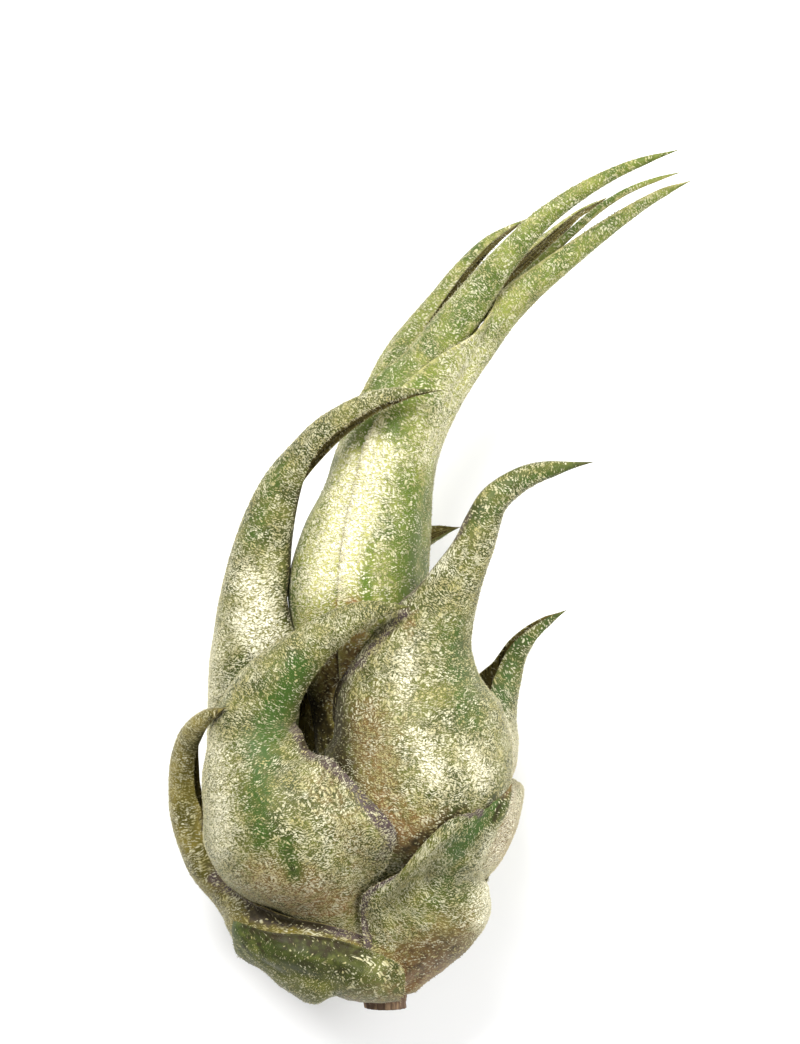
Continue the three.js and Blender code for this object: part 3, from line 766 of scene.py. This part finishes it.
back = grow("leaf_back", seed=60, stations=[
    [2, -27.3, 0, 9, 100, 260], [0.5, -18, -2.5, 12, 95, 265], [0, -8, -5.5, 14.5, 95, 265],
    [0, 2, -8, 17.5, 95, 265], [-0.5, 18, -10, 14, 90, 260], [0, 30, -16, 7, 80, 260],
    [4.6, 42, -19.5, 4, 60, 270], [11.6, 50, -20, 2.5, 50, 280], [20, 52.6, -19, 0.35, 50, 280],
])
back_long = grow("leaf_back_long", seed=70, stations=[
    [2.3, -28.8, 0, 8.8, -230, -70], [-1.5, -20, -3, 11.5, -235, -65], [-5, -9, -6.5, 14, -235, -65],
    [-6.4, 2, -9, 15.5, -230, -70], [-5.4, 18, -14, 11, -225, -75], [-2.4, 34, -21, 6, -230, -70],
    [2, 50, -24.6, 4, -260, -60], [7.6, 62, -26.6, 2.8, -280, -50], [13.6, 70, -28.2, 0.4, -280, -50],
])
dress(back, OLD_SKIN, cover=0.5, green=[(10, 53, 22, 54, 4)])
dress(back_long, OLD_SKIN, cover=0.5)


# --- The right front leaf and the tall left leaf ---------------------------------------------------
# The two big leaves next out. The right one swells into half of the bulb's face, with a purple edge,
# and the left one stands beside the shaft and hooks over it. Both are thickly furred with silver.

front_right = grow("leaf_front_right", seed=80, stations=[
    [2.5, -30.3, 0, 8.4, -55, 110], [3.6, -20, 1.6, 11.5, -75, 110], [6, -10, 4.5, 15, -80, 110],
    [10, 0, 9, 18.2, -100, 110], [11.8, 9, 10, 18, -110, 110], [10.6, 20, 10, 15, -100, 110],
    [12.2, 29, 11, 10.5, -96, 115], [16.6, 38, 14, 6.3, -108, 130], [22, 49, 17, 3.9, -130, 160],
    [25.6, 57.4, 18, 2.9, -130, 170], [33.6, 63, 18, 2.1, -130, 170], [45.8, 65.4, 17, 0.35, -130, 170],
])
tall_left = grow("leaf_tall_left", seed=90, stations=[
    [2.7, -31.6, 0, 8.8, -190, -10], [-2.5, -22, -2, 11.5, -190, -10], [-7.5, -10, -4, 14.5, -190, -5],
    [-14.4, 6, -6, 17, -190, 0], [-20, 20, -3, 11.3, -200, 30], [-20.6, 31, 0, 9.3, -210, 70],
    [-20.8, 40, 2, 7.4, -215, 66], [-19.4, 50, 4, 5.7, -220, 88], [-15.6, 60.6, 7, 4.1, -240, 66],
    [-10, 68, 10, 3.4, -260, 15], [-3.6, 73.6, 13, 3.1, -265, 5], [4.4, 77.6, 15, 2.2, -265, 5],
    [16.4, 79.4, 14, 0.35, -265, 5],
])
dress(
    front_right, OLD_SKIN, cover=0.66,
    green=[
        (18, 32, 19, 24, 5, 0.65), (19, 25, 22, 14, 5, 0.65), (22, 53, 30, 62, 4, 0.5),
        (33, 62, 42, 64.5, 3, 0.6),
    ],
    dry=[(1, 14, 4, -6, 9, 0.8), (6, -8, 16, -10, 8)],
    blush=[(9.2, 35, 9.6, 31.5, 2.4, 0.5), (2, -4, 12, -14, 5, 0.6)],
    bright=[
        (10.5, 11, 15, 2, 4, 0.8), (22, 7, 24, 2, 4, 0.8), (9, 29, 8, 18, 3, 0.6),
        (14, 44, 18, 50, 3, 0.5),
    ],
    mauve=[("left", 0.36, 0.8, 5)],
    purple=[(8.6, 35.4, -3.6, 22.6, 1.8, 0.9)],
    # Most of these paint shade: the first two on the left flank where it turns into the hollow, the last
    # two in the creases against the left front and low right leaves.
    dark=[
        (-6.5, 17, -4.5, 3, 6), (-5, 22, -6, 16, 3.4), (15, 10.6, 15.2, 10.2, 0.7),
        (-1, 1, 7.6, -11.4, 1.6, 0.7), (7.6, -12.8, 19.8, -4.2, 2.2, 0.85),
    ],
)
dress(
    tall_left, OLD_SKIN, cover=0.64,
    green=[(-22, 50, -17, 64, 4, 0.6), (-24, 24, -26, 14, 4, 0.5)],
    bright=[(-22, 41, -17.5, 31, 5.5), (-24, 34, -20, 28, 4), (-30, 30, -30, 12, 5, 0.6)],
    # Painted shade along the right edge, where it meets the shaft.
    dark=[(-14.8, 34, -14.4, 46, 1.5, 0.9), (-14.4, 46, -12.2, 60, 1.5, 0.9)],
)


# --- The right back leaf and the left front leaf ---------------------------------------------------
# The next pair. The left front leaf is the most swollen: its bulge is rubbed bright green in a
# streak where the scales are gone, and its blade curls over the hollow in front of the shaft.

right_back = grow("leaf_right_back", seed=100, stations=[
    [3, -33, 0, 7.9, 20, 200], [5.5, -23, -2.5, 12, 25, 205], [10, -12, -5.5, 17.8, 34, 205],
    [12.6, -2, -7, 19.5, 46, 200], [15, 7.5, -7, 18.2, 48, 195], [20.4, 13.2, -6.6, 13.8, 40, 198],
    [24.2, 18, -6, 8.6, 14, 205], [28.2, 23, -5.5, 4.2, -20, 225], [31, 28, -5, 2.6, -35, 245],
    [35, 32.3, -4.5, 1.6, -35, 250], [41.2, 36, -4, 0.35, -35, 250],
])
front_left = grow("leaf_front_left", seed=110, stations=[
    [3.2, -34.4, 0, 7.6, -130, 50], [-3.2, -27.5, 2, 8.8, -130, 45], [-7.2, -18.6, 5.8, 12.6, -130, 56],
    [-11, -10.5, 8.5, 17.6, -130, 70], [-14.2, -1.5, 10, 18.3, -130, 57],
    [-18.4, 7, 11, 13.8, -140, 42], [-20, 15, 12.5, 8.8, -165, 64], [-16, 22.6, 15, 6.4, -210, 58],
    [-8.4, 30.2, 17.5, 4.3, -240, 52], [0.6, 35.6, 19.5, 2.6, -250, 52],
    [9.8, 37.2, 21.5, 0.35, -250, 52],
])
dress(
    right_back, OLD_SKIN, cover=0.72,
    green=[(28, 18, 31, 30, 4, 0.8), (31, 28, 40, 36, 3, 0.6)],
    dry=[(26, 2, 30, -14, 8)],
    # The bright stroke is partly dense scales and partly painted light on the body, which faces away from
    # the key light.
    bright=[(27.6, 8, 30, -14, 9)],
    dark=[(22, 24, 28, 32, 1.8)],
)
dress(
    front_left, OLD_SKIN, cover=0.64,
    green=[
        (-13, 24.4, -17, 17, 5), (-17, 17, -20.4, 8, 6, 0.95), (-20.4, 8, -20.6, -2, 5, 0.85),
        (-20.6, -2, -20.2, -10, 4, 0.8), (-15.4, -11.4, -14.8, -13.6, 2.6), (-14, -14.6, -13.6, -17, 2.2),
    ],
    dry=[(-20, -18, -4, -22, 8, 0.8), (-7, 2, 0, -16, 8, 0.4)],
    blush=[(-14, -23, -4, -23, 4, 0.5)],
    bright=[(-29, 8, -28, -12, 3.5, 0.7), (-10, 2, -6, -8, 4, 0.25)],
    # The first two are the leaf's own dark spots; the other two paint shade in the channel of its curled
    # blade over the hollow.
    dark=[
        (-15.2, -12, -14.8, -13.6, 1.4, 0.7), (-13.9, -15, -13.6, -17, 1.2, 0.6),
        (-10.6, 20, -11.4, 9, 2.4, 0.8), (-10.8, 20, -5, 28, 1.6, 0.5),
    ],
    mauve=[("right", 0.28, 0.62, 4)],
    purple=[(-0.6, -1.6, 6.6, -11, 1.6)],
)


# --- The two leaves underneath ---------------------------------------------------------------------
# A pair of older leaves that carry the bulb, the same skin and fur as the rest. The plant rests on
# their backs, which its weight presses a little flat.

back_right = grow("leaf_back_right", seed=120, stations=[
    [3.4, -35.8, 0, 7.4, 100, 240], [6, -27, -3, 12.5, 100, 235], [11, -12, -12, 18, 105, 230],
    [13, 2, -15.6, 14.5, 113, 225], [15, 13, -20, 6.4, 85, 230], [18, 22, -22, 3, 60, 240],
    [22, 28, -22, 0.35, 60, 240],
])
back_left = grow("leaf_back_left", seed=130, stations=[
    [3.7, -37.2, 0, 7.1, -225, -85], [-3.5, -29, -4, 14, -225, -90], [-8.8, -16, -11.2, 19, -220, -95],
    [-10, -2, -15.6, 14.5, -215, -95], [-12.4, 10, -20, 6.8, -220, -70], [-9, 20, -22, 3.2, -235, -55],
    [-3, 27, -23, 1.8, -235, -55], [4, 31, -23, 0.35, -235, -55],
])
dress(back_right, OLD_SKIN, cover=0.55)
dress(back_left, OLD_SKIN, cover=0.55)


# --- The far left leaf -----------------------------------------------------------------------------
# The oldest leaf on the left, gone olive and thin of scales. Its purple-brown sheath clasps the bulb
# at the foot, and its blade stands out from it and arches back.

OLIVE_SKIN = leaf_surface(
    "olive_leaf_skin", deep="#4c4718", pale="#766a2e", bright="#948b50", rubbed="#56561c", dry="#54421f",
), "olive_leaf"

far_left = grow("leaf_far_left", seed=140, stations=[
    [3.9, -38.6, 0, 6.8, -175, 60], [-6, -30, 1, 13.5, -165, 40], [-13, -24.5, 0, 13.5, -165, -2],
    [-20.7, -17.6, -2, 10.6, -165, -16], [-28.5, -11.6, -2, 8, -175, -18],
    [-33.8, -4.6, -1, 4.6, -210, 10], [-35, 3, 1, 3.4, -240, 20], [-34, 10, 6, 2.6, -240, 28],
    [-30.8, 14.8, 13, 1.8, -230, 40], [-26, 17.6, 19, 0.35, -230, 50],
])
dress(
    far_left, OLIVE_SKIN, cover=0.46,
    mauve=[("right", 0.1, 0.45, 5)],
    # Painted shade: in the crease under the left front leaf's bulge, and in the gap along its edge.
    dark=[(-22, -24.5, -8, -27, 2.6), (-31.6, -8, -30.6, 8, 1.4)],
)


# --- The two low leaves ----------------------------------------------------------------------------
# The outermost leaves at the foot, short and broad, one on each side. The right one has a purple
# edge, a silver flank, a tan base under painted shade and a red-brown tip, and the left one is dark
# green, darkened further by painted shade.

low_right = grow("leaf_low_right", seed=150, stations=[
    [4.1, -40, 0, 6.6, -60, 150], [8.4, -31, 2, 11.4, -45, 130], [12.6, -20.5, 5, 13.2, -78, 135],
    [14.8, -11.4, 10.6, 10, -100, 78], [18.9, -6.8, 15, 7.9, -100, 78], [22.7, -4.2, 18, 4.9, -84, 84],
    [26.6, -1.2, 20, 2.4, -66, 100], [29.2, 2.9, 21, 0.35, -50, 110],
])
low_left = grow("leaf_low_left", seed=160, stations=[
    [4.4, -41.4, 0, 6.4, -140, 25], [-2, -36, 2.5, 9, -115, 68], [-9.6, -32.4, 5, 9, -108, 62],
    [-15.4, -29.6, 7, 7, -110, 50], [-20.8, -27, 9, 4, -110, 45], [-24.6, -24.8, 9.5, 0.6, -110, 45],
])
dress(
    low_right, OLD_SKIN, cover=0.62,
    green=[(15, -22, 19, -12, 4, 0.55), (17, -29, 20, -20, 4, 0.4), (19, -12, 26.5, -2, 3.5)],
    dry=[(4, -38, 18, -31, 10)],
    blush=[(28.2, 0, 30, 3, 2.5), (4, -39, 15, -36, 7, 0.9)],
    # The broad dark stroke paints shade over the base.
    dark=[(4, -38, 18, -32, 7, 0.6), (26.4, -6, 29.2, 1, 1, 0.8)],
    bright=[(24, -26, 27, -12, 4)],
    mauve=[("left", 0.12, 0.72, 2.6)],
)
dress(
    low_left, OLD_SKIN, cover=0.34,
    green=[(-24, -27, -18, -30, 8, 0.8), (-18, -30, -6, -33, 8, 0.7)],
    # Painted shade over the leaf, on top of its own dark green.
    dark=[(-20, -27, -4, -31, 9, 0.9), (-18, -32, -4, -36, 5, 0.6)],
)


# --- The scales ------------------------------------------------------------------------------------
# The fur of a leaf: dry silver scales, each a slim lifted flake of dead cells rooted in the skin.
# They lie mostly across the leaf, grow longest along its edges, and are gone where it was rubbed.

MOST_SCALES = 46000  # in one piece
SCALES_EACH = 15.0  # to a square millimetre of open skin at full cover
DENSER = 0.5  # by what share they stand closer where the skin is bright, and along an edge
COVERED = 0.8  # skin this far under another leaf bears fewer, and twice as far none
FRINGE = 0.2, 1.0  # distances from an edge between which its longer scales end
LONGER = 0.5  # by what share those are longer
SLIM_WIDTH, SMALL = (1, 8), 0.5  # leaf widths over which scales grow to full size, and their least
LENGTHS, WIDTHS = (0.22, 0.5), (0.11, 0.2)  # of a scale
LIFTS = 0.1, 0.8  # radians that a scale stands up from the skin
TURN, TURN_SPREAD = 0.3, 0.45  # radians that a scale lies away from the line across the leaf
STRAIGHTER = 0.5  # by what share the scales along an edge lie less away from it
ROOTED = 0.03  # depth of a scale's root in the skin
# A scale's corners by its own length and width: root, tip, left and right, the sides bent down.
SCALE_SHAPE = np.array([[0, 0, 0], [1, 0, 0], [0.4, 0.5, -0.12], [0.4, -0.5, -0.12]])
SCALE_FACES = np.array([[0, 1, 2], [0, 3, 1], [0, 2, 3], [1, 3, 2]])
# The same corners laid flat in a square, each scale's own part of the picture that a bake makes.
SCALE_FLAT = np.array([[0.1, 0.5], [0.9, 0.5], [0.5, 0.9], [0.5, 0.1]])


def open_skin(ring):
    """1 where nothing lies further out from the plant's axis over the skin, and 0 where a leaf does,
    by how much further out the reach of the skins is there."""
    cell, out = about_axis(ring)
    row = np.clip(np.floor(ring[..., 1] + 0.5).astype(int) - LOWEST, 0, len(skin_reach) - 1)
    over = skin_reach[row, np.floor(cell + 0.5).astype(int) % DIRECTIONS] - out
    return 1 - smoothed(over, COVERED, 2 * COVERED)


def scales_on(name, leaf, ring, slot, masks):
    """Scatters a leaf's scales. A cell of the skin gets about as many as its area times its cover, at
    random places in it, each turned and lifted by a random angle from the line across the leaf."""
    rng = np.random.default_rng(leaf["seed"] + 5)
    beside = np.roll(ring, -1, 1)
    across = unit(beside - np.roll(ring, 1, 1))
    along = unit(steps_along(ring))
    normal = unit(np.cross(across, along))
    area = np.linalg.norm(np.cross(beside[1:] - ring[:-1], ring[1:] - beside[:-1]), axis=-1) / 2
    fringe = 1 - smoothed(around(leaf["from_edge"], leaf["from_edge"]), *FRINGE)
    slim = around(leaf["width"], leaf["width"])
    wanted = masks["cover"] * open_skin(ring) * (1 + DENSER * masks["bright"] + DENSER * fringe)
    running = np.cumsum((area * wanted[:-1] * SCALES_EACH).ravel())
    count = min(int(running[-1]), MOST_SCALES)
    row, k = np.divmod(np.searchsorted(running / running[-1], rng.random(count)), ring.shape[1])
    after = (k + 1) % ring.shape[1]
    s, t = rng.random((2, count))

    def read(values):
        """The values at the scales' roots, each between the four corners of its cell."""
        right_share, up_share = (w.reshape(-1, *[1] * (values.ndim - 2)) for w in (s, t))
        low = values[row, k] * (1 - right_share) + values[row, after] * right_share
        high = values[row + 1, k] * (1 - right_share) + values[row + 1, after] * right_share
        return low * (1 - up_share) + high * up_share

    out, side, line = read(normal), read(across), read(along)
    fringed = read(fringe)[:, None]
    small = SMALL + (1 - SMALL) * smoothed(read(slim), *SLIM_WIDTH)[:, None]
    turn = rng.normal(TURN, TURN_SPREAD, (count, 1)) * (1 - STRAIGHTER * fringed)
    sign = rng.choice([-1.0, 1.0], (count, 1))
    lie = unit(side * sign * np.cos(turn) + line * np.sin(turn))
    lift = rng.uniform(*LIFTS, (count, 1))
    way = unit(lie * np.cos(lift) + out * np.sin(lift))
    wide = unit(np.cross(out, lie))
    raised = np.cross(way, wide)
    size = rng.uniform(*LENGTHS, (count, 1)) * (1 + LONGER * fringed) * small
    width = rng.uniform(*WIDTHS, (count, 1)) * small
    a, b, c = SCALE_SHAPE.T[:, :, None]
    root = (read(ring) - ROOTED * out)[:, None]
    corners = root + (way * size)[:, None] * a + (wide * width)[:, None] * b
    corners = corners + (raised * size)[:, None] * c
    corners[..., 2] = np.maximum(corners[..., 2], TABLE)
    faces = (4 * np.arange(count)[:, None, None] + SCALE_FACES).reshape(-1, 3)
    # The dark mask brings the skin's painted shade to the scales as well.
    tinted = ("bright", "mauve", "green", "dry", "blush", "dark")
    tints = {key: np.repeat(read(masks[key]), 4) for key in tinted}
    tints["toss"] = np.repeat(rng.random(count), 4)
    piece = new_piece(name + "_scales", corners.reshape(-1, 3), faces, SCALE_SURFACE, tints)
    cells = int(np.ceil(np.sqrt(count)))
    cell = np.stack(np.divmod(np.arange(count), cells), -1)[:, None]
    laid_flat = (cell + SCALE_FLAT[SCALE_FACES.ravel()]) / cells
    piece.data.uv_layers.new(name="OFBake").data.foreach_set("uv", laid_flat.astype(np.float32).ravel())


for leaf_name, kept in SCALES.items():
    scales_on(leaf_name, **kept)


# --- Floor, light and camera -----------------------------------------------------------------------
# A plain pale table, a broad soft light from the upper left, a weaker one from the right, and a
# camera straight above, far enough away that near leaves look little larger than far ones.

LIT = (0, 0, 0.03)  # the place in the plant that both lights face, in metres


def area_light(name, place, size, power):
    """A square soft white light that faces the plant, of that size in metres and power in watts."""
    light = bpy.data.lights.new(name, "AREA")
    light.size, light.energy = size, power
    lamp = bpy.data.objects.new(name, light)
    lamp.location = place
    lamp.rotation_euler = (Vector(LIT) - Vector(place)).to_track_quat("-Z", "Y").to_euler()
    bpy.context.scene.collection.objects.link(lamp)


def floor():
    """A flat square, far wider than the plant, just under it."""
    half = 3.0  # metres
    corners = [(-half, -half, 0), (half, -half, 0), (half, half, 0), (-half, half, 0)]
    mesh = bpy.data.meshes.new("floor")
    mesh.from_pydata(corners, [], [(0, 1, 2, 3)])
    material, tree = shader("table_top")
    place = node(tree, "ShaderNodeTexCoord").outputs["Object"]
    cloud = noise(tree, place, 2.0)
    base = mixed(tree, cloud, (0.9, 0.9, 0.9, 1), (0.94, 0.94, 0.94, 1))
    surface(tree, base, 0.9, cloud, 0.0)
    mesh.materials.append(material)
    table = bpy.data.objects.new("floor", mesh)
    bpy.context.scene.collection.objects.link(table)


floor()
area_light("key", (-0.28, 0.55, 0.8), size=0.5, power=15.0)
area_light("fill", (0.65, 0.15, 0.6), size=0.8, power=10.0)

world = bpy.data.worlds.new("studio")
world.use_nodes = True
backdrop = world.node_tree.nodes["Background"]
backdrop.inputs["Color"].default_value = (1, 1, 1, 1)
backdrop.inputs["Strength"].default_value = 0.42
scene = bpy.context.scene
scene.world = world
scene.view_settings.view_transform = "Standard"

PICTURE_HEIGHT = 208.8  # millimetres on the level of the axis that the picture takes in
camera = bpy.data.cameras.new("camera")
camera.sensor_fit = "VERTICAL"
camera.sensor_height = 24.0
camera.lens = camera.sensor_height * EYE[2] / PICTURE_HEIGHT
camera.clip_start = 0.01
viewer = bpy.data.objects.new("camera", camera)
viewer.location = (EYE - FRAME_ORIGIN) * MM
scene.collection.objects.link(viewer)
scene.camera = viewer
